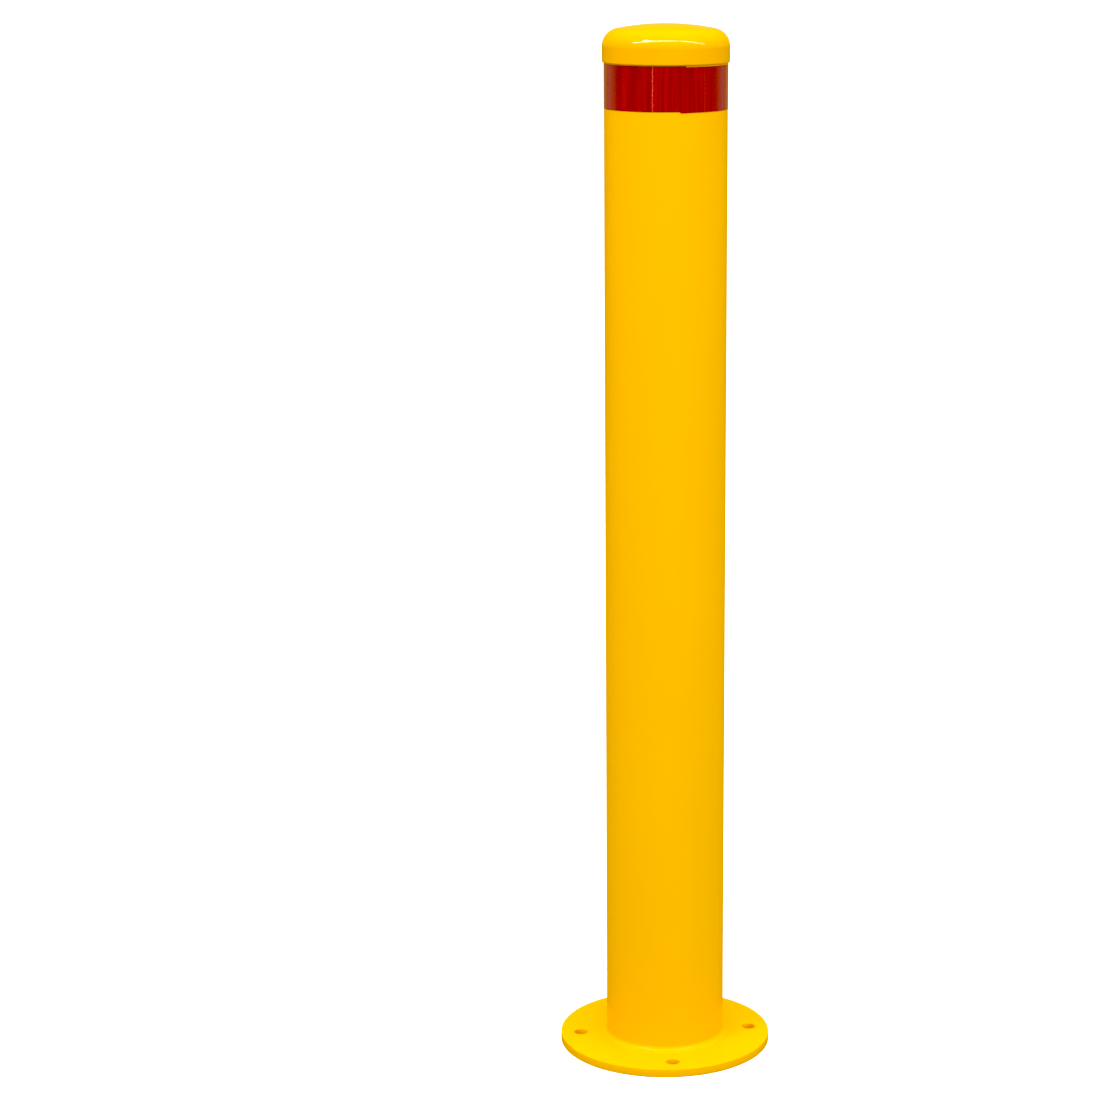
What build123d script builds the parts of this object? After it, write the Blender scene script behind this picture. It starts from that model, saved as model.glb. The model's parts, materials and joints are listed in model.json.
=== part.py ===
"""Surface-mounted steel safety bollard: a round tube welded upright on a round base plate with four
anchor holes, a push-on moulded cap, and a band of reflective tape wound once round the tube under it.

Millimetres, +Z up, origin at the centre of the base plate's underside.
"""

import os
from math import pi, sqrt

from build123d import *

OVERALL_HEIGHT = 1208

# Base plate: a disc with its anchor holes on the X and Y axes
PLATE_DIAMETER = 250
PLATE_THICKNESS = 10
PLATE_EDGE_RADIUS = 0.8
ANCHOR_CIRCLE_DIAMETER = 203
ANCHOR_HOLE_DIAMETER = 16
ANCHOR_COUNT = 4
HOLE_EDGE_CHAMFER = 0.5

# Post: 5-inch nominal welded steel tube, whose seam leaves a bead along the bore
TUBE_DIAMETER = 139.7
TUBE_WALL = 5
TUBE_LENGTH = 1173
TUBE_END_CHAMFER = 0.8
SEAM_ANGLE = 100
SEAM_BEAD_RADIUS = 2.2
SEAM_BEAD_HEIGHT = 1.2

# Fillet weld all round the foot of the tube, hollow and blended in at both toes
WELD_HEIGHT = 6
WELD_WIDTH = 6
WELD_HOLLOW = 1.4

# Cap: a moulded dome with a skirt that slips over the end of the tube
CAP_WALL = 2
CAP_CLEARANCE = 0.15
CAP_SKIRT_DEPTH = 18
CAP_SHOULDER_RADIUS = 20
CAP_LIP_RADIUS = 1.6
CAP_RIB_COUNT = 12
CAP_RIB_THICKNESS = 2
CAP_RIB_REACH = 62

# Reflective tape: one turn with a lap, angles counted from +X
TAPE_WIDTH = 50
TAPE_THICKNESS = 0.3
TAPE_GAP_UNDER_CAP = 0.5
LAP_START = -82.25
LAP_LENGTH = 6.6

tube_radius = TUBE_DIAMETER / 2
bore_radius = tube_radius - TUBE_WALL
plate_top = PLATE_THICKNESS
tube_top = plate_top + TUBE_LENGTH

cap_inner_radius = tube_radius + CAP_CLEARANCE
cap_outer_radius = cap_inner_radius + CAP_WALL
cap_lip = tube_top - CAP_SKIRT_DEPTH
shoulder_centre_radius = cap_outer_radius - CAP_SHOULDER_RADIUS

# The crown is the arc that is tangent to the shoulder and reaches the overall height on the axis.
crown_rise = OVERALL_HEIGHT - tube_top
crown_radius = (shoulder_centre_radius**2 + crown_rise**2 - CAP_SHOULDER_RADIUS**2) / (
    2 * (crown_rise - CAP_SHOULDER_RADIUS)
)
crown_centre = OVERALL_HEIGHT - crown_radius
tangent_share = crown_radius / (crown_radius - CAP_SHOULDER_RADIUS)
tangent_radius = shoulder_centre_radius * tangent_share
tangent_height = crown_centre + (tube_top - crown_centre) * tangent_share


# ---- base plate ----
with BuildPart() as base_plate:
    with BuildSketch():
        Circle(PLATE_DIAMETER / 2)
    extrude(amount=PLATE_THICKNESS)
    fillet(base_plate.edges().filter_by(GeomType.CIRCLE), PLATE_EDGE_RADIUS)
    with PolarLocations(ANCHOR_CIRCLE_DIAMETER / 2, ANCHOR_COUNT):
        Hole(ANCHOR_HOLE_DIAMETER / 2)
    hole_mouths = base_plate.edges().group_by(Axis.Z)[-1].group_by(SortBy.RADIUS)[0]
    chamfer(hole_mouths, HOLE_EDGE_CHAMFER)


# ---- post tube ----
with BuildPart() as post_tube:
    with BuildSketch(Plane.XY.offset(plate_top)):
        Circle(tube_radius)
        Circle(bore_radius, mode=Mode.SUBTRACT)
        bead_centre = bore_radius - SEAM_BEAD_HEIGHT + SEAM_BEAD_RADIUS
        with PolarLocations(bead_centre, 1, start_angle=SEAM_ANGLE):
            Circle(SEAM_BEAD_RADIUS)
    extrude(amount=TUBE_LENGTH)
    outer_rim = post_tube.edges().group_by(Axis.Z)[-1].sort_by(SortBy.RADIUS)[-1]
    chamfer(outer_rim, TUBE_END_CHAMFER)


# ---- weld between the tube and the plate ----
with BuildPart() as base_weld:
    with BuildSketch(Plane.XZ):
        with BuildLine():
            plate_toe = (tube_radius + WELD_WIDTH, plate_top)
            tube_toe = (tube_radius, plate_top + WELD_HEIGHT)
            Polyline(tube_toe, (tube_radius, plate_top), plate_toe)
            SagittaArc(plate_toe, tube_toe, WELD_HOLLOW)
        make_face()
    revolve(axis=Axis.Z)


# ---- cap ----
# One seating rib: a gusset under the shoulder whose lower edge rests on the end of the tube.
with BuildPart() as cap_rib:
    with BuildSketch(Plane.XZ):
        with BuildLine():
            rib_arc_radius = CAP_SHOULDER_RADIUS - CAP_WALL / 2
            rib_foot = shoulder_centre_radius + rib_arc_radius
            rib_run = CAP_RIB_REACH - shoulder_centre_radius
            rib_top = tube_top + sqrt(rib_arc_radius**2 - rib_run**2)
            Polyline((CAP_RIB_REACH, rib_top), (CAP_RIB_REACH, tube_top), (rib_foot, tube_top))
            RadiusArc((rib_foot, tube_top), (CAP_RIB_REACH, rib_top), -rib_arc_radius)
        make_face()
    extrude(amount=CAP_RIB_THICKNESS / 2, both=True)

with BuildPart() as cap:
    with BuildSketch(Plane.XZ):
        with BuildLine():
            skirt_foot = (cap_outer_radius, cap_lip)
            skirt_top = (cap_outer_radius, tube_top)
            shoulder_end = (tangent_radius, tangent_height)
            Polyline((0, OVERALL_HEIGHT), (0, cap_lip), skirt_foot, skirt_top)
            RadiusArc(skirt_top, shoulder_end, -CAP_SHOULDER_RADIUS)
            RadiusArc(shoulder_end, (0, OVERALL_HEIGHT), -crown_radius)
        make_face()
    revolve(axis=Axis.Z)
    underside = cap.faces().sort_by(Axis.Z)[0]
    offset(amount=-CAP_WALL, openings=underside)
    lip_edges = cap.edges().group_by(Axis.Z)[0]
    fillet(lip_edges.sort_by(SortBy.RADIUS)[-1], CAP_LIP_RADIUS)
    with PolarLocations(0, CAP_RIB_COUNT):
        add(cap_rib.part)


# ---- reflective tape ----
with BuildPart() as reflective_tape:
    tape_foot = Plane.XY.offset(cap_lip - TAPE_GAP_UNDER_CAP - TAPE_WIDTH)
    single_radius = tube_radius + TAPE_THICKNESS
    lap_radius = single_radius + TAPE_THICKNESS
    lap_angle = LAP_LENGTH / tube_radius * 180 / pi
    with BuildSketch(tape_foot):
        Circle(single_radius)
        Circle(tube_radius, mode=Mode.SUBTRACT)
    extrude(amount=TAPE_WIDTH)
    with BuildSketch(tape_foot):
        with BuildLine():
            outside = CenterArc((0, 0), lap_radius, LAP_START, lap_angle)
            inside = CenterArc((0, 0), single_radius, LAP_START, lap_angle)
            Line(outside @ 0, inside @ 0)
            Line(outside @ 1, inside @ 1)
        make_face()
    extrude(amount=TAPE_WIDTH)


# ---- one STEP file for each piece ----
os.makedirs("parts", exist_ok=True)
pieces = {
    "base_plate": base_plate,
    "post_tube": post_tube,
    "base_weld": base_weld,
    "cap": cap,
    "reflective_tape": reflective_tape,
}
for name, piece in pieces.items():
    piece.part.label = name
    export_step(piece.part, f"parts/{name}.step")
    print(name, "volume", round(piece.part.volume), "mm3, solids", len(piece.part.solids()))
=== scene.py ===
"""The finished look of a surface-mounted steel safety bollard.

A powder-coated tube is welded to a round plate, with a glossy moulded cap pushed over its end and
one turn of red reflective tape under the cap. Everything is in metres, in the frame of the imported
model: +Z up, origin under the middle of the plate.
"""

import json
import math

import bmesh
import bpy
from mathutils import Matrix, Vector, noise


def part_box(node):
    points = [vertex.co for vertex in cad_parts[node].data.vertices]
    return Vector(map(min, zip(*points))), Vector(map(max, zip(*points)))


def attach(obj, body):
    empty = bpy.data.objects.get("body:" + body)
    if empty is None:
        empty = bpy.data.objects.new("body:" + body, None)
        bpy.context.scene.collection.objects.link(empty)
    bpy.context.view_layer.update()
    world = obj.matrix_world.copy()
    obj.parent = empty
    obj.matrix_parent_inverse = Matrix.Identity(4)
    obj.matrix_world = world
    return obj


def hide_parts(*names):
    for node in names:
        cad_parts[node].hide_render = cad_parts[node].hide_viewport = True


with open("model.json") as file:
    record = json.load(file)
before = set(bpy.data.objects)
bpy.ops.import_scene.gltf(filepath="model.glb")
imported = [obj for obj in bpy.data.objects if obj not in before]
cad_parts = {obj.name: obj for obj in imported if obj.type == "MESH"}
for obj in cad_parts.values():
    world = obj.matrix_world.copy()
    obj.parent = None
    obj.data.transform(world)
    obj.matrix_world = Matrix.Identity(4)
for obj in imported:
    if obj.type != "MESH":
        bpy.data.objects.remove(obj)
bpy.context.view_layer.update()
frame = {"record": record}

MM = 0.001
FULL_TURN = 2 * math.pi
UP = Vector((0, 0, 1))

# ---- camera: a little above the cap, 3.3 m in front of the post ----
CAMERA_BEARING = math.radians(-4.99)
CAMERA_PLACE = Vector((-17.5, -3315.2, 1360.3)) * MM
CAMERA_TILT_DOWN = math.radians(12.854)
CAMERA_LENS = 95.58
CAMERA_SHIFT = -0.0912
SENSOR_WIDTH = 36
FARTHEST_SEEN = 200

camera_data = bpy.data.cameras.new("camera")
camera_data.sensor_width = SENSOR_WIDTH
camera_data.lens = CAMERA_LENS
camera_data.shift_x = CAMERA_SHIFT
camera_data.clip_end = FARTHEST_SEEN
camera = bpy.data.objects.new("camera", camera_data)
camera.location = Matrix.Rotation(CAMERA_BEARING, 3, "Z") @ CAMERA_PLACE
camera.rotation_euler = (math.pi / 2 - CAMERA_TILT_DOWN, 0, CAMERA_BEARING)
bpy.context.scene.collection.objects.link(camera)
bpy.context.scene.camera = camera

# ---- sizes that the frame gives ----
plate_low, plate_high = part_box("base_plate")
tube_low, tube_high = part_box("post_tube")
cap_low, cap_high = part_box("cap")
weld_low, weld_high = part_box("base_weld")
tape_low, tape_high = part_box("reflective_tape")
mounts = {mount["name"]: mount for mount in frame["record"]["mounts"]}
anchors = mounts["anchor_holes"]["dims"]

plate_radius = plate_high.x
plate_top = plate_high.z
tube_radius = tube_high.x
tube_top = tube_high.z
cap_lip = cap_low.z
cap_top = cap_high.z
hole_radius = anchors["hole_r_mm"] * MM
hole_circle = anchors["pcd_mm"] / 2 * MM
hole_count = anchors["count"]

# ---- sizes of the pieces that a box can't give ----
TUBE_WALL = 5 * MM
SEAM_ANGLE = math.radians(100)
SEAM_BEAD_HEIGHT = 1.2 * MM
SEAM_BEAD_WIDTH = 3.9 * MM
CAP_CLEARANCE = 0.15 * MM
CAP_WALL = 2 * MM
CAP_SHOULDER_RADIUS = 20 * MM
CAP_RIB_COUNT = 12
CAP_RIB_REACH = 62 * MM
CAP_RIB_THICKNESS = 2 * MM
WELD_HOLLOW = 1.4 * MM
TAPE_THICKNESS = 0.3 * MM
TAPE_LAP = 6.6 * MM
TAPE_START = math.radians(-76.85)
# How far the strip has run downhill by the end of its turn
TAPE_DRIFT = 1.1 * MM


# ---- making meshes ----
# Faces that meet at a sharper corner than this are shaded with a crisp edge
SHARPEST_SMOOTH_CORNER = math.radians(40)
# Vertices nearer than this are one
MERGE_WITHIN = 0.01 * MM


def arc_from(bm, start, centre, angle, steps):
    """Sweeps a vertex in the XZ plane about a centre, as edges, and returns the last vertex."""
    swept = bmesh.ops.spin(bm, geom=[start], cent=centre, axis=(0, 1, 0), angle=angle, steps=steps)
    return next(v for v in swept["geom_last"] if isinstance(v, bmesh.types.BMVert))


def spin_about_post(bm, steps):
    """Turns the outline that bm holds once about the post's axis, into a closed skin."""
    bmesh.ops.spin(
        bm,
        geom=bm.verts[:] + bm.edges[:],
        cent=(0, 0, 0),
        axis=UP,
        angle=FULL_TURN,
        steps=steps,
        use_merge=True,
    )
    bmesh.ops.remove_doubles(bm, verts=bm.verts, dist=MERGE_WITHIN)
    bmesh.ops.recalc_face_normals(bm, faces=bm.faces)


def round_edges(bm, edges, radius, segments):
    """Rounds the given edges."""
    bmesh.ops.bevel(
        bm,
        geom=edges,
        offset=radius,
        segments=segments,
        affect="EDGES",
        profile=0.5,
        material=-1,
    )


def radius_of(vert):
    """A vertex's distance from the post's axis."""
    return math.hypot(vert.co.x, vert.co.y)


def edges_at(bm, radius, height):
    """The edges of the circle about the post at this radius and height."""
    near = 0.05 * MM
    return [
        e
        for e in bm.edges
        if all(
            abs(radius_of(v) - radius) < near and abs(v.co.z - height) < near for v in e.verts
        )
    ]


def finish_piece(bm, name, body, material, node):
    """Makes the mesh an object that stands for its CAD node, shaded smooth but for its sharp corners."""
    for face in bm.faces:
        face.smooth = True
    mesh = bpy.data.meshes.new(name)
    bm.to_mesh(mesh)
    bm.free()
    mesh.set_sharp_from_angle(angle=SHARPEST_SMOOTH_CORNER)
    mesh.materials.append(material)
    piece = bpy.data.objects.new(name, mesh)
    bpy.context.scene.collection.objects.link(piece)
    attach(piece, body)
    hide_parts(node)
    return piece


def mark(bm, name, share):
    """Writes share(vert), from 0 to 1, to a named attribute that a material can read."""
    layer = bm.verts.layers.float.new(name)
    for vert in bm.verts:
        vert[layer] = share(vert)


def smoothstep(low, high, value):
    """0 below low and 1 above high, with an easy rise between."""
    x = min(max((value - low) / (high - low), 0), 1)
    return x * x * (3 - 2 * x)


# ---- making materials ----
def linear(hex_colour):
    """The linear RGBA colour of an sRGB hex value."""
    levels = [int(hex_colour[i : i + 2], 16) / 255 for i in (1, 3, 5)]
    return (*(c / 12.92 if c <= 0.04045 else ((c + 0.055) / 1.055) ** 2.4 for c in levels), 1)


def add(tree, kind, inputs=None, **settings):
    """Adds a node with its settings, and gives each named input a value or a link."""
    node = tree.nodes.new(kind)
    for name, value in settings.items():
        setattr(node, name, value)
    for name, value in (inputs or {}).items():
        if isinstance(value, bpy.types.NodeSocket):
            tree.links.new(value, node.inputs[name])
        else:
            node.inputs[name].default_value = value
    return node


def new_material(name):
    """An empty material, its node tree and its output."""
    material = bpy.data.materials.new(name)
    material.use_nodes = True
    material.node_tree.nodes.clear()
    return material, material.node_tree, add(material.node_tree, "ShaderNodeOutputMaterial")


def powder_coat():
    """Traffic-yellow polyester powder coat, sprayed and baked on steel.

    It melts into one thick glossy skin with a fine orange peel. The skin is slightly deeper in
    colour where it is thinner, and the drag lines of the plate's cut edge still show through it.
    Down the bore of the tube the overspray fades out to bare mill scale.
    """
    material, tree, output = new_material("yellow_powder_coat")
    place = add(tree, "ShaderNodeTexCoord").outputs["Object"]

    # Film thickness: broad soft patches about 60 mm across, drawn out along the tube
    drift = add(tree, "ShaderNodeMapping", {"Vector": place, "Scale": (1, 1, 0.35)})
    patches = add(
        tree,
        "ShaderNodeTexNoise",
        {"Vector": drift.outputs[0], "Scale": 1 / (60 * MM), "Detail": 2},
    )
    coat = add(
        tree,
        "ShaderNodeMix",
        {0: patches.outputs["Fac"], 6: linear("#EAAE00"), 7: linear("#EDB200")},
        data_type="RGBA",
    )

    # Mill scale in the bore: blue-grey with rusty specks a few millimetres across
    scale_specks = add(
        tree, "ShaderNodeTexNoise", {"Vector": place, "Scale": 1 / (4 * MM), "Detail": 5}
    )
    scale_ramp = add(tree, "ShaderNodeValToRGB", {"Fac": scale_specks.outputs["Fac"]})
    scale_ramp.color_ramp.elements[0].position = 0.42
    scale_ramp.color_ramp.elements[0].color = linear("#4A4C50")
    scale_ramp.color_ramp.elements[1].position = 0.72
    scale_ramp.color_ramp.elements[1].color = linear("#5E4A3E")
    # The spray ends in a ragged edge: the specks push the smooth fade up and down
    bare = add(tree, "ShaderNodeAttribute", attribute_name="bare_steel").outputs["Fac"]
    speckled = add(
        tree, "ShaderNodeMath", {0: scale_specks.outputs["Fac"], 1: 0.5}, operation="SUBTRACT"
    )
    edge_of_spray = add(
        tree, "ShaderNodeMath", {0: speckled.outputs[0], 1: 0.8, 2: bare}, operation="MULTIPLY_ADD"
    )
    no_coat = add(
        tree,
        "ShaderNodeMapRange",
        {"Value": edge_of_spray.outputs[0], "From Min": 0.35, "From Max": 0.65},
    )
    colour = add(
        tree,
        "ShaderNodeMix",
        {0: no_coat.outputs[0], 6: coat.outputs[2], 7: scale_ramp.outputs["Color"]},
        data_type="RGBA",
    )
    # The coat is glossy and the mill scale dull
    dullness = add(
        tree, "ShaderNodeMapRange", {"Value": no_coat.outputs[0], "To Min": 0.24, "To Max": 0.6}
    )

    # Orange peel: cells 2.5 mm across and about a hundredth of a millimetre deep
    peel = add(tree, "ShaderNodeTexNoise", {"Vector": place, "Scale": 1 / (2.5 * MM), "Detail": 1})
    peel_bump = add(
        tree, "ShaderNodeBump", {"Height": peel.outputs["Fac"], "Distance": 0.012 * MM}
    )
    # Drag lines of the cut edge: upright, 3 mm apart
    upright = add(tree, "ShaderNodeMapping", {"Vector": place, "Scale": (1, 1, 0.06)})
    lines = add(
        tree,
        "ShaderNodeTexNoise",
        {"Vector": upright.outputs[0], "Scale": 1 / (3 * MM), "Detail": 3},
    )
    cut = add(tree, "ShaderNodeAttribute", attribute_name="cut_edge").outputs["Fac"]
    drag = add(tree, "ShaderNodeMath", {0: lines.outputs["Fac"], 1: cut}, operation="MULTIPLY")
    drag_bump = add(
        tree,
        "ShaderNodeBump",
        {"Height": drag.outputs[0], "Distance": 0.35 * MM, "Normal": peel_bump.outputs[0]},
    )
    shader = add(
        tree,
        "ShaderNodeBsdfPrincipled",
        {
            "Base Color": colour.outputs[2],
            "Roughness": dullness.outputs[0],
            "IOR": 1.5,
            "Specular IOR Level": 0.25,
            "Normal": drag_bump.outputs[0],
        },
    )
    tree.links.new(shader.outputs[0], output.inputs["Surface"])
    return material


def moulded_cap_plastic():
    """Injection-moulded polyethylene, coloured through in the same yellow.

    The polished mould leaves it glossier and smoother than the powder coat, with faint sink
    waves a centimetre or two long that break up its highlights.
    """
    material, tree, output = new_material("yellow_moulded_polyethylene")
    place = add(tree, "ShaderNodeTexCoord").outputs["Object"]

    # The colour drifts a little with the flow of the plastic, over 35 mm
    flow = add(tree, "ShaderNodeTexNoise", {"Vector": place, "Scale": 1 / (35 * MM), "Detail": 3})
    colour = add(
        tree,
        "ShaderNodeMix",
        {0: flow.outputs["Fac"], 6: linear("#E5A500"), 7: linear("#E9AA00")},
        data_type="RGBA",
    )

    # Sink waves 14 mm long and 0.16 mm deep, and the mould's own grain, 1.2 mm across
    sink = add(tree, "ShaderNodeTexNoise", {"Vector": place, "Scale": 1 / (14 * MM), "Detail": 1})
    sink_bump = add(tree, "ShaderNodeBump", {"Height": sink.outputs["Fac"], "Distance": 0.16 * MM})
    grain = add(tree, "ShaderNodeTexNoise", {"Vector": place, "Scale": 1 / (1.2 * MM), "Detail": 2})
    grain_bump = add(
        tree,
        "ShaderNodeBump",
        {"Height": grain.outputs["Fac"], "Distance": 0.004 * MM, "Normal": sink_bump.outputs[0]},
    )
    shader = add(
        tree,
        "ShaderNodeBsdfPrincipled",
        {
            "Base Color": colour.outputs[2],
            "Roughness": 0.05,
            "IOR": 1.5,
            "Specular IOR Level": 0.4,
            "Normal": grain_bump.outputs[0],
        },
    )
    tree.links.new(shader.outputs[0], output.inputs["Surface"])
    return material


def reflective_film():
    """Red retroreflective film: a lattice of sealed cells under a clear glossy face.

    The cells give a fine diamond net, a little more orange than the deep red between, and the
    clear face shows pale reflections at its glancing sides. Along its creases a pale pinkish highlight
    is painted into the colour.
    """
    material, tree, output = new_material("red_reflective_film")
    flat = add(tree, "ShaderNodeUVMap", uv_map="flat").outputs[0]

    # Cell walls: two sets of lines at 60 degrees, 2.6 mm apart and about 0.5 mm wide, which is
    # coarser than the real net so that it shows
    CELL_PITCH = 2.6 * MM
    walls = []
    for turn in (30, -30):
        turned = add(
            tree, "ShaderNodeMapping", {"Vector": flat, "Rotation": (0, 0, math.radians(turn))}
        )
        # A band texture runs through 20 radians for each metre at a scale of 1
        wave = add(
            tree,
            "ShaderNodeTexWave",
            {"Vector": turned.outputs[0], "Scale": FULL_TURN / (20 * CELL_PITCH)},
            wave_type="BANDS",
            bands_direction="X",
            wave_profile="TRI",
        )
        walls.append(wave.outputs["Fac"])
    net = add(tree, "ShaderNodeMath", {0: walls[0], 1: walls[1]}, operation="MAXIMUM")
    wall = add(
        tree, "ShaderNodeMapRange", {"Value": net.outputs[0], "From Min": 0.76, "From Max": 0.94}
    )

    # Faint bands across the film, 4 mm apart and drawn out along its width
    pulled = add(tree, "ShaderNodeMapping", {"Vector": flat, "Scale": (1, 0.04, 1)})
    bands = add(
        tree,
        "ShaderNodeTexNoise",
        {"Vector": pulled.outputs[0], "Scale": 1 / (4 * MM), "Detail": 4},
    )
    band = add(
        tree,
        "ShaderNodeMapRange",
        {"Value": bands.outputs["Fac"], "From Min": 0.3, "From Max": 0.7},
    )
    red = add(
        tree,
        "ShaderNodeMix",
        {0: band.outputs[0], 6: linear("#620000"), 7: linear("#AC0202")},
        data_type="RGBA",
    )
    netted = add(
        tree,
        "ShaderNodeMix",
        {0: wall.outputs[0], 6: red.outputs[2], 7: linear("#A01410")},
        data_type="RGBA",
    )

    # Along the creases a pale pinkish red is painted into the colour, unevenly along the crease in
    # steps of about 2 mm: a painted highlight, standing in for the light that the creases catch
    crease = add(tree, "ShaderNodeAttribute", attribute_name="crease").outputs["Fac"]
    sheen_noise = add(tree, "ShaderNodeTexNoise", {"Vector": flat, "Scale": 1 / (2 * MM), "Detail": 2})
    sheen_unevenness = add(
        tree,
        "ShaderNodeMapRange",
        {"Value": sheen_noise.outputs["Fac"], "From Min": 0.3, "From Max": 0.6, "To Min": 0.35},
    )
    painted_crease_sheen = add(tree, "ShaderNodeMath", {0: crease, 1: sheen_unevenness.outputs[0]}, operation="MULTIPLY")
    # The painted crease highlight: pale pinkish red mixed over the film's own colour
    colour = add(
        tree,
        "ShaderNodeMix",
        {0: painted_crease_sheen.outputs[0], 6: netted.outputs[2], 7: linear("#E65C60")},
        data_type="RGBA",
    )
    emboss = add(tree, "ShaderNodeBump", {"Height": wall.outputs[0], "Distance": 0.06 * MM})
    shader = add(
        tree,
        "ShaderNodeBsdfPrincipled",
        {
            "Base Color": colour.outputs[2],
            "Roughness": 0.3,
            "Specular IOR Level": 0.1,
            "Coat Weight": 1.0,
            "Coat Roughness": 0.06,
            "Normal": emboss.outputs[0],
        },
    )
    tree.links.new(shader.outputs[0], output.inputs["Surface"])
    return material


yellow_coat = powder_coat()
yellow_plastic = moulded_cap_plastic()
red_film = reflective_film()


# ---- base plate ----
def make_base_plate():
    """A disc with four anchor holes, cut from plate, its edges softened by the coat."""
    # A hole's patch takes up 16 of the disc's 320 columns and its own 8 rows
    COLUMNS, HOLE_COLUMNS, HOLE_ROWS = 320, 16, 8
    HOLE_PATCH_REACH = 10.5 * MM
    EDGE_RADIUS, HOLE_EDGE_RADIUS = 0.8 * MM, 0.6 * MM
    EDGE_BAND = 2 * MM
    CUT_EDGE_DEPTH = 0.3 * MM
    SHARP_CORNER = math.radians(60)
    inner, outer = hole_circle - HOLE_PATCH_REACH, hole_circle + HOLE_PATCH_REACH
    rings = [0, 25 * MM, 50 * MM, tube_radius, weld_high.x, (weld_high.x + inner) / 2]
    rings += [inner + (outer - inner) * k / HOLE_ROWS for k in range(HOLE_ROWS + 1)]
    rings += [(outer + plate_radius) / 2, plate_radius - EDGE_BAND, plate_radius]

    bm = bmesh.new()
    line = [bm.verts.new((r, 0, plate_top)) for r in rings]
    for a, b in zip(line, line[1:]):
        bm.edges.new((a, b))
    spin_about_post(bm, COLUMNS)

    # Each hole: a patch of the disc is taken out, and its rim bridged to a circle
    half_patch = HOLE_COLUMNS / 2 * FULL_TURN / COLUMNS
    for k in range(hole_count):
        bearing = k * FULL_TURN / hole_count
        middle = Matrix.Rotation(bearing, 3, "Z") @ Vector((hole_circle, 0, plate_top))
        patch = []
        for face in bm.faces:
            centre = face.calc_center_median()
            swing = (math.atan2(centre.y, centre.x) - bearing + math.pi) % FULL_TURN - math.pi
            if abs(swing) < half_patch and inner < centre.xy.length < outer:
                patch.append(face)
        rim = [e for f in patch for e in f.edges if sum(g in patch for g in e.link_faces) == 1]
        bmesh.ops.delete(bm, geom=patch, context="FACES")
        # The circle is made above the disc and lowered once it is joined, because two loops in
        # one plane with one centre can be joined the wrong way round
        lift = Vector((0, 0, hole_radius))
        circle = bmesh.ops.create_circle(
            bm,
            segments=2 * (HOLE_COLUMNS + HOLE_ROWS),
            radius=hole_radius,
            matrix=Matrix.Translation(middle + lift) @ Matrix.Rotation(bearing, 4, "Z"),
        )
        mouth = list({e for v in circle["verts"] for e in v.link_edges})
        bmesh.ops.bridge_loops(bm, edges=rim + mouth)
        bmesh.ops.translate(bm, verts=circle["verts"], vec=-lift)

    copied = bmesh.ops.extrude_face_region(bm, geom=bm.faces[:])
    underside = [v for v in copied["geom"] if isinstance(v, bmesh.types.BMVert)]
    bmesh.ops.translate(bm, verts=underside, vec=(0, 0, plate_low.z - plate_top))
    bmesh.ops.recalc_face_normals(bm, faces=bm.faces)

    corners = [e for e in bm.edges if e.is_manifold and e.calc_face_angle() > SHARP_CORNER]
    rim = [e for e in corners if all(radius_of(v) > outer for v in e.verts)]
    mouths = [e for e in corners if e not in set(rim)]
    round_edges(bm, rim, EDGE_RADIUS, 4)
    round_edges(bm, mouths, HOLE_EDGE_RADIUS, 3)

    mark(bm, "cut_edge", lambda v: float(radius_of(v) > plate_radius - CUT_EDGE_DEPTH))
    finish_piece(bm, "base_plate_finished", "post", yellow_coat, "base_plate")


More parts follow.
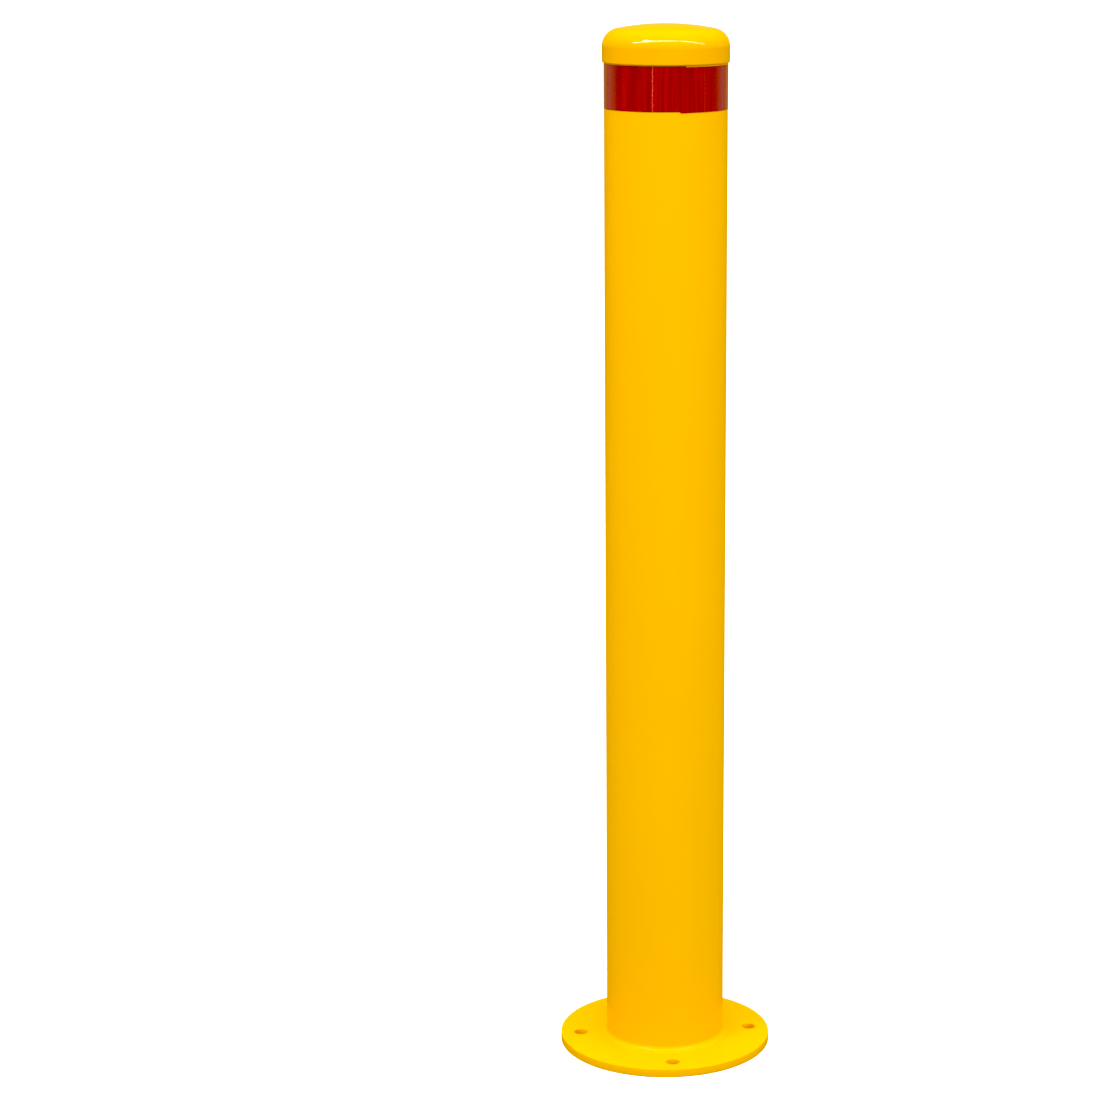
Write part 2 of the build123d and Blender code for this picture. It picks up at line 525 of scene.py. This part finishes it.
# ---- post ----
def make_post_tube():
    """The tube, its rolled surface a few hundredths out of true, with the seam bead in its bore.

    The skin has narrow columns where the seam bead needs them.
    """
    ROWS = 24
    COLUMNS, SEAM_COLUMNS = 256, 24
    SEAM_HALF = math.radians(3)
    RIM_RADIUS, BORE_RIM_RADIUS = 0.8 * MM, 0.3 * MM
    ON_THE_BORE, ON_ITS_RIM = 0.1 * MM, 0.5 * MM
    OVERSPRAY_DEPTH = 90 * MM
    # Two sets of soft waves round the tube, 7 and 17 to a turn; the second winds slowly up it
    OUT_OF_TRUE = 0.03 * MM
    WAVES, WAVE_PHASE = 7, 0.6
    LESSER_WAVES, LESSER_SHARE, LESSER_TWIST = 17, 0.6, 3
    wave_peak = 1 + LESSER_SHARE
    bore_radius = tube_radius - TUBE_WALL

    bm = bmesh.new()
    corners = [
        (bore_radius, tube_top),
        (tube_radius, tube_top),
        (tube_radius, tube_low.z),
        (bore_radius, tube_low.z),
    ]
    ring = [bm.verts.new((r, 0, z)) for r, z in corners]
    for a, b in zip(ring, ring[1:] + ring[:1]):
        bm.edges.new((a, b))
    sides = [e for e in bm.edges if abs(e.verts[0].co.z - e.verts[1].co.z) > TUBE_WALL]
    bmesh.ops.subdivide_edges(bm, edges=sides, cuts=ROWS - 1)
    bmesh.ops.rotate(
        bm, verts=bm.verts, cent=(0, 0, 0), matrix=Matrix.Rotation(SEAM_ANGLE - SEAM_HALF, 3, "Z")
    )
    outline = bm.verts[:] + bm.edges[:]
    fine = bmesh.ops.spin(
        bm, geom=outline, cent=(0, 0, 0), axis=UP, angle=2 * SEAM_HALF, steps=SEAM_COLUMNS
    )
    bmesh.ops.spin(
        bm,
        geom=fine["geom_last"],
        cent=(0, 0, 0),
        axis=UP,
        angle=FULL_TURN - 2 * SEAM_HALF,
        steps=COLUMNS,
    )
    bmesh.ops.remove_doubles(bm, verts=bm.verts, dist=MERGE_WITHIN)
    bmesh.ops.recalc_face_normals(bm, faces=bm.faces)
    round_edges(bm, edges_at(bm, tube_radius, tube_top), RIM_RADIUS, 4)
    round_edges(bm, edges_at(bm, bore_radius, tube_top), BORE_RIM_RADIUS, 2)

    for vert in bm.verts:
        radius = radius_of(vert)
        bearing = math.atan2(vert.co.y, vert.co.x)
        if radius < bore_radius + ON_THE_BORE:
            across = (bearing - SEAM_ANGLE) * bore_radius / (SEAM_BEAD_WIDTH / 2)
            push = -SEAM_BEAD_HEIGHT * math.sqrt(max(0, 1 - across**2))
        else:
            wave = math.sin(WAVES * bearing + WAVE_PHASE)
            wave += LESSER_SHARE * math.sin(LESSER_WAVES * bearing + LESSER_TWIST * vert.co.z)
            push = OUT_OF_TRUE * (wave - wave_peak) / (2 * wave_peak)
        vert.co.xy *= 1 + push / radius

    def bare(vert):
        """The bore's coat fades with depth. Outside, all the steel is coated."""
        in_bore = radius_of(vert) < bore_radius + ON_ITS_RIM
        return smoothstep(0, OVERSPRAY_DEPTH, tube_top - vert.co.z) * in_bore

    mark(bm, "bare_steel", bare)
    finish_piece(bm, "post_tube_finished", "post", yellow_coat, "post_tube")


# ---- weld ----
def make_base_weld():
    """The fillet weld: a hollow bead, its fine ripples softened by the coat."""
    COLUMNS, ROWS = 1080, 12
    ON_THE_FACE = 0.05 * MM
    RIPPLE_PITCH = 3 * MM
    RIPPLE_DEPTH = 0.05 * MM
    RIPPLE_BOW = 1.2 * MM
    # The low lump where the bead's end meets its start
    TIE_IN = math.radians(-112)
    TIE_IN_HEIGHT = 0.35 * MM
    TIE_IN_LENGTH = 2.5 * MM

    plate_toe = Vector((weld_high.x, 0, plate_top))
    tube_toe = Vector((tube_radius, 0, weld_high.z))
    middle = (plate_toe + tube_toe) / 2
    chord = tube_toe - plate_toe
    half = chord.length / 2
    face_radius = (half**2 + WELD_HOLLOW**2) / (2 * WELD_HOLLOW)
    outward = Vector((chord.z, 0, -chord.x)).normalized()
    centre = middle + outward * (face_radius - WELD_HOLLOW)
    turn = 2 * math.asin(half / face_radius)

    bm = bmesh.new()
    start = bm.verts.new(plate_toe)
    end = arc_from(bm, start, centre, turn, ROWS)
    corner = bm.verts.new((tube_radius, 0, plate_top))
    bm.edges.new((end, corner))
    bm.edges.new((corner, start))
    spin_about_post(bm, COLUMNS)

    for vert in bm.verts:
        radius = radius_of(vert)
        place = Vector((radius, 0, vert.co.z))
        if (centre - place).length > face_radius + ON_THE_FACE:
            continue
        bearing = math.atan2(vert.co.y, vert.co.x)
        across = (place - middle).dot(chord.normalized()) / half
        along = bearing * middle.x + RIPPLE_BOW * across**2
        ripple = math.cos(FULL_TURN * along / RIPPLE_PITCH) * RIPPLE_DEPTH / 2
        from_tie_in = (bearing - TIE_IN) * middle.x / TIE_IN_LENGTH
        tie_in = TIE_IN_HEIGHT * math.exp(-(from_tie_in**2))
        out = (centre - place).normalized() * (ripple + tie_in) * (1 - across**2)
        vert.co.z += out.z
        vert.co.xy *= 1 + out.x / radius
    finish_piece(bm, "base_weld_finished", "post", yellow_coat, "base_weld")


# ---- cap ----
def make_cap():
    """The moulded dome with its skirt, and the seating ribs under its shoulder."""
    COLUMNS, SHOULDER_ROWS, CROWN_ROWS, SKIRT_ROWS, RIB_ROWS = 256, 20, 24, 7, 10
    LIP_RADIUS, INNER_LIP_RADIUS = 1.6 * MM, 0.3 * MM
    cap_radius = tube_radius + CAP_CLEARANCE + CAP_WALL
    shoulder = Vector((cap_radius - CAP_SHOULDER_RADIUS, 0, tube_top))
    rise = cap_top - tube_top
    crown_radius = (shoulder.x**2 + rise**2 - CAP_SHOULDER_RADIUS**2) / (
        2 * (rise - CAP_SHOULDER_RADIUS)
    )
    crown = Vector((0, 0, cap_top - crown_radius))
    shoulder_turn = math.atan2(shoulder.z - crown.z, shoulder.x)

    bm = bmesh.new()
    foot = bm.verts.new((cap_radius, 0, cap_lip))
    knee = bm.verts.new((cap_radius, 0, tube_top))
    tangent = arc_from(bm, knee, shoulder, -shoulder_turn, SHOULDER_ROWS)
    arc_from(bm, tangent, crown, shoulder_turn - math.pi / 2, CROWN_ROWS)
    skirt = bm.edges.new((foot, knee))
    bmesh.ops.subdivide_edges(bm, edges=[skirt], cuts=SKIRT_ROWS - 1)
    spin_about_post(bm, COLUMNS)
    bmesh.ops.solidify(bm, geom=bm.faces[:], thickness=CAP_WALL)
    bmesh.ops.recalc_face_normals(bm, faces=bm.faces)
    round_edges(bm, edges_at(bm, cap_radius, cap_lip), LIP_RADIUS, 6)
    round_edges(bm, edges_at(bm, cap_radius - CAP_WALL, cap_lip), INNER_LIP_RADIUS, 2)

    # One rib, then copies of it all round; its outer edge is sunk halfway into the shoulder's wall
    rib = bmesh.new()
    run = CAP_RIB_REACH - shoulder.x
    sunk = CAP_SHOULDER_RADIUS - CAP_WALL / 2
    toe = rib.verts.new((shoulder.x + sunk, 0, tube_top))
    tip = arc_from(rib, toe, shoulder, -math.acos(run / sunk), RIB_ROWS)
    heel = rib.verts.new((CAP_RIB_REACH, 0, tube_top))
    rib.edges.new((tip, heel))
    rib.edges.new((heel, toe))
    side = bmesh.ops.contextual_create(rib, geom=rib.edges[:])["faces"]
    copied = bmesh.ops.extrude_face_region(rib, geom=side)
    other_side = [v for v in copied["geom"] if isinstance(v, bmesh.types.BMVert)]
    bmesh.ops.translate(rib, verts=other_side, vec=(0, CAP_RIB_THICKNESS, 0))
    bmesh.ops.translate(rib, verts=rib.verts, vec=(0, -CAP_RIB_THICKNESS / 2, 0))
    bmesh.ops.recalc_face_normals(rib, faces=rib.faces)
    bmesh.ops.spin(
        rib,
        geom=rib.faces[:],
        cent=(0, 0, 0),
        axis=UP,
        angle=FULL_TURN * (CAP_RIB_COUNT - 1) / CAP_RIB_COUNT,
        steps=CAP_RIB_COUNT - 1,
        use_duplicate=True,
    )
    ribs = bpy.data.meshes.new("ribs")
    rib.to_mesh(ribs)
    rib.free()
    bm.from_mesh(ribs)
    bpy.data.meshes.remove(ribs)
    finish_piece(bm, "cap_finished", "cap", yellow_plastic, "cap")


# ---- tape ----
def make_reflective_tape():
    """A flat strip of film wound once round the post, so that its end laps over its start."""
    ROWS = 36
    COLUMN_WIDTH = 0.75 * MM
    CUTS_EACH_SIDE = 4
    MERGE_SLIVERS = 0.02 * MM
    # A crease strays to and fro by up to half a millimetre, every few millimetres of its length
    WANDER, WANDER_LENGTH = 0.5 * MM, 3.5 * MM
    END_RAMP = 3 * MM
    # Upright creases from winding: bearing from +X in degrees, height and width in millimetres, and
    # how strong a painted highlight runs along it
    CREASES = (
        (-107.4, 0.2, 0.7, 0.8),
        (-135.4, 0.06, 1.0, 0.14),
        (-119.5, 0.06, 1.1, 0.12),
        (-99.5, 0.05, 1.0, 0.1),
        (-95.4, 0.05, 1.4, 0.12),
        (-85.3, 0.06, 1.0, 0.14),
        (-58, 0.08, 1.0, 0.16),
        (70, 0.08, 1.0, 0.2),
        (162, 0.1, 0.8, 0.4),
    )

    turn_length = FULL_TURN * tube_radius
    length = turn_length + TAPE_LAP
    width = tape_high.z - tape_low.z
    bm = bmesh.new()
    columns = round(length / COLUMN_WIDTH)
    bmesh.ops.create_grid(bm, x_segments=columns, y_segments=ROWS, size=0.5)
    bmesh.ops.translate(bm, verts=bm.verts, vec=(0.5, 0.5, 0))
    bmesh.ops.scale(bm, verts=bm.verts, vec=(length, width, 1))
    lines = []
    for bearing, height, spread, painted_crease_sheen in CREASES:
        along = (TAPE_START - math.radians(bearing)) % FULL_TURN * tube_radius
        lines.append((along, height * MM, spread * MM, painted_crease_sheen))
        # Closer columns there, so that the mesh can hold it
        for k in range(-CUTS_EACH_SIDE, CUTS_EACH_SIDE + 1):
            bmesh.ops.bisect_plane(
                bm,
                geom=bm.verts[:] + bm.edges[:] + bm.faces[:],
                plane_co=(along + k * spread * MM / 2, 0, 0),
                plane_no=(1, 0, 0),
            )
    bmesh.ops.remove_doubles(bm, verts=bm.verts, dist=MERGE_SLIVERS)
    flat = bm.loops.layers.uv.new("flat")
    for face in bm.faces:
        for loop in face.loops:
            loop[flat].uv = loop.vert.co.xy

    def creased(place, line):
        """How much of a crease there is at a place on the flat strip, from 0 to 1."""
        at, _, spread, _ = line
        wander = WANDER * noise.noise(Vector((at / MM, place.y / WANDER_LENGTH, 0)))
        return math.exp(-(((place.x - at - wander) / spread) ** 2))

    # The crease attribute holds how much painted highlight each place along the creases gets
    mark(bm, "crease", lambda v: sum(line[3] * creased(v.co, line) for line in lines))

    # The strip is wound on clockwise, seen from above, and climbs its own thickness at the lap
    for vert in bm.verts:
        along, across = vert.co.x, vert.co.y
        over_start = smoothstep(turn_length - END_RAMP, turn_length, along)
        crease = sum(line[1] * creased(vert.co, line) for line in lines)
        radius = tube_radius + over_start * TAPE_THICKNESS + crease
        bearing = TAPE_START - along / tube_radius
        vert.co = (
            radius * math.cos(bearing),
            radius * math.sin(bearing),
            tape_low.z + across - TAPE_DRIFT * along / turn_length,
        )
    bmesh.ops.recalc_face_normals(bm, faces=bm.faces)
    outward = sum(f.normal.dot(f.calc_center_median().xy.to_3d()) for f in bm.faces)
    if outward < 0:
        bmesh.ops.reverse_faces(bm, faces=bm.faces)
    bmesh.ops.solidify(bm, geom=bm.faces[:], thickness=-TAPE_THICKNESS)
    return finish_piece(
        bm, "reflective_tape_wound", "post", red_film, "reflective_tape"
    )


# ---- the pieces ----
make_base_plate()
make_post_tube()
make_base_weld()
make_cap()
tape = make_reflective_tape()

# ---- floor ----
WHITE = (1, 1, 1, 1)
FLOOR_RADIUS = 60
# A hair below the plate, so that the two never share a plane
FLOOR_DROP = 0.2 * MM
FLOOR_SEEN, FLOOR_SEEN_GLOW = (0.9, 0.9, 0.9, 1), 0.45
FLOOR_THROWN, FLOOR_MIRRORED = (0.25, 0.25, 0.25, 1), (0.3, 0.22, 0.01, 1)
floor_mesh = bmesh.new()
bmesh.ops.create_circle(floor_mesh, cap_ends=True, segments=128, radius=FLOOR_RADIUS)
bmesh.ops.translate(floor_mesh, verts=floor_mesh.verts, vec=(0, 0, -FLOOR_DROP))
floor_data = bpy.data.meshes.new("studio_floor")
floor_mesh.to_mesh(floor_data)
floor_mesh.free()
floor = bpy.data.objects.new("studio_floor", floor_data)
bpy.context.scene.collection.objects.link(floor)
floor_paint, floor_tree, floor_output = new_material("pale_floor_paint")
# The camera sees it lit up to white, but the light that it throws back on the post is held down,
# and what the gloss mirrors of it is warm and dim
floor_path = add(floor_tree, "ShaderNodeLightPath").outputs
thrown = add(
    floor_tree,
    "ShaderNodeMix",
    {0: floor_path["Is Glossy Ray"], 6: FLOOR_THROWN, 7: FLOOR_MIRRORED},
    data_type="RGBA",
)
floor_grey = add(
    floor_tree,
    "ShaderNodeMix",
    {0: floor_path["Is Camera Ray"], 6: thrown.outputs[2], 7: FLOOR_SEEN},
    data_type="RGBA",
).outputs[2]
glow = add(
    floor_tree,
    "ShaderNodeMath",
    {0: floor_path["Is Camera Ray"], 1: FLOOR_SEEN_GLOW},
    operation="MULTIPLY",
)
floor_shader = add(
    floor_tree,
    "ShaderNodeBsdfPrincipled",
    {
        "Base Color": floor_grey,
        "Roughness": 0.9,
        "Emission Color": WHITE,
        "Emission Strength": glow.outputs[0],
    },
)
floor_tree.links.new(floor_shader.outputs[0], floor_output.inputs["Surface"])
floor_data.materials.append(floor_paint)


# ---- light ----
POST_MIDDLE = Vector((0, 0, 0.8))
# Watts for each square metre of a softbox whose brightness is 1
WATTS_PER_AREA = math.pi**2


def softbox(name, place, size, brightness, aim=POST_MIDDLE):
    """A rectangular softbox that faces a point on the post."""
    data = bpy.data.lights.new(name, "AREA")
    data.shape = "RECTANGLE"
    data.size, data.size_y = size
    data.energy = brightness * WATTS_PER_AREA * size[0] * size[1]
    light = bpy.data.objects.new(name, data)
    light.location = place
    light.rotation_euler = (place - aim).to_track_quat("Z", "Y").to_euler()
    bpy.context.scene.collection.objects.link(light)
    return light


# Bearings round the post are counted to the right from the camera's side
to_camera_side = Matrix.Rotation(CAMERA_BEARING, 3, "Z")


def bearing_way(bearing, climb=0):
    """The way that lies at a bearing, climbing by this much for each metre out."""
    return to_camera_side @ Vector((math.sin(bearing), -math.cos(bearing), climb)).normalized()


# Two long strips nearly end to end, high in front of the post: their ends are counted to the right
STRIP_HEIGHT, STRIP_AHEAD, STRIP_WIDTH, STRIP_BRIGHTNESS = 5.2, 3.22, 0.35, 8.2
for name, left_end, right_end in (("strip_left", -7.8, 1.56), ("strip_right", 2.05, 12.5)):
    across = (left_end + right_end) / 2
    centre = to_camera_side @ Vector((across, -STRIP_AHEAD, STRIP_HEIGHT))
    aim = to_camera_side @ Vector((across, 0, cap_top))
    softbox(name, centre, (right_end - left_end, STRIP_WIDTH), STRIP_BRIGHTNESS, aim)

# A smaller key high on the left, which lights the tie-in of the weld and the left of the cap
KEY_BEARING, KEY_ELEVATION = math.radians(-45), math.radians(57)
KEY_DISTANCE, KEY_SIZE, KEY_BRIGHTNESS = 4.5, 0.6, 7.8
key_place = bearing_way(KEY_BEARING, math.tan(KEY_ELEVATION)) * KEY_DISTANCE
softbox("key_left", key_place, (KEY_SIZE, KEY_SIZE), KEY_BRIGHTNESS)

# A soft fill on the right, level with the top of the post, which the gloss doesn't mirror
FILL_BEARING, FILL_HEIGHT = math.radians(78), 1.5
FILL_DISTANCE, FILL_SIZE, FILL_BRIGHTNESS = 2.5, 1.0, 0.6
fill_place = bearing_way(FILL_BEARING) * FILL_DISTANCE + UP * FILL_HEIGHT
fill = softbox("fill_right", fill_place, (FILL_SIZE, FILL_SIZE), FILL_BRIGHTNESS)
fill.visible_glossy = False
fill.visible_camera = False

# Bluish cards just behind the post, on both sides, which only the film mirrors: the bearings
# of each card's edges in degrees, and its brightness
film_only = bpy.data.collections.new("film_only")
film_only.objects.link(tape)
CARD_DISTANCE, CARD_HEIGHT, CARD_MIDDLE = 1, 1, 1.1
CARD_COLOUR = (0.4, 0.4, 1)
CARDS = ((-102, -130, 0.14), (-130, -165, 0.05), (108, 130, 0.14), (130, 165, 0.05))
for near, far, brightness in CARDS:
    bearing = math.radians(near + far) / 2
    centre = bearing_way(bearing) * CARD_DISTANCE + UP * CARD_MIDDLE
    width = 2 * CARD_DISTANCE * math.tan(math.radians(abs(far - near)) / 2)
    card = softbox("card", centre, (width, CARD_HEIGHT), brightness, UP * CARD_MIDDLE)
    card.data.color = CARD_COLOUR
    card.light_linking.receiver_collection = film_only
    card.visible_camera = False
    card.visible_diffuse = False

# The studio round it: bright overhead, softly lit on the camera's side, and warm behind the post
OVERHEAD, OVERHEAD_MIRRORED = (1.65, 1.65, 1.65, 1), (0.5, 0.5, 0.5, 1)
CAMERA_SIDE = (0.85, 0.85, 0.85, 1)
BEHIND = (0.8, 0.62, 0.15, 1)
# Cosines between which each part of the studio fades into the next
BEHIND_FADE = 0, 0.4
OVERHEAD_FADE = 0.45, 0.98
world = bpy.data.worlds.new("studio")
bpy.context.scene.world = world
world.use_nodes = True
sky = world.node_tree
sky.nodes.clear()
direction = add(sky, "ShaderNodeTexCoord").outputs["Generated"]


def toward(aim, low, high):
    """From 0 to 1 as the direction turns towards aim, between two cosines."""
    cosine = add(sky, "ShaderNodeVectorMath", {0: direction, 1: aim}, operation="DOT_PRODUCT")
    limits = {"Value": cosine.outputs["Value"], "From Min": low, "From Max": high}
    return add(sky, "ShaderNodeMapRange", limits, interpolation_type="SMOOTHSTEP").outputs[0]


behind = to_camera_side @ Vector((-0.4, 0.92, 0)).normalized()
level = add(
    sky,
    "ShaderNodeMix",
    {0: toward(behind, *BEHIND_FADE), 6: CAMERA_SIDE, 7: BEHIND},
    data_type="RGBA",
)
# The gloss mirrors a dimmer ceiling than the one that lights the post, so that the strips stand out
# crisply in the cap
sky_path = add(sky, "ShaderNodeLightPath").outputs
ceiling = add(
    sky,
    "ShaderNodeMix",
    {0: sky_path["Is Glossy Ray"], 6: OVERHEAD, 7: OVERHEAD_MIRRORED},
    data_type="RGBA",
)
light = add(
    sky,
    "ShaderNodeMix",
    {0: toward(UP, *OVERHEAD_FADE), 6: level.outputs[2], 7: ceiling.outputs[2]},
    data_type="RGBA",
)
colour = add(
    sky,
    "ShaderNodeMix",
    {0: sky_path["Is Camera Ray"], 6: light.outputs[2], 7: WHITE},
    data_type="RGBA",
)
background = add(sky, "ShaderNodeBackground", {"Color": colour.outputs[2]})
add(sky, "ShaderNodeOutputWorld", {"Surface": background.outputs[0]})

# A slightly raised black level in green and blue keeps the yellow deep
BLACK_LEVEL = (0.0, 0.03, 0.05)
display = bpy.context.scene.view_settings
display.view_transform = "Standard"
display.use_curve_mapping = True
display.curve_mapping.black_level = BLACK_LEVEL
display.curve_mapping.update()
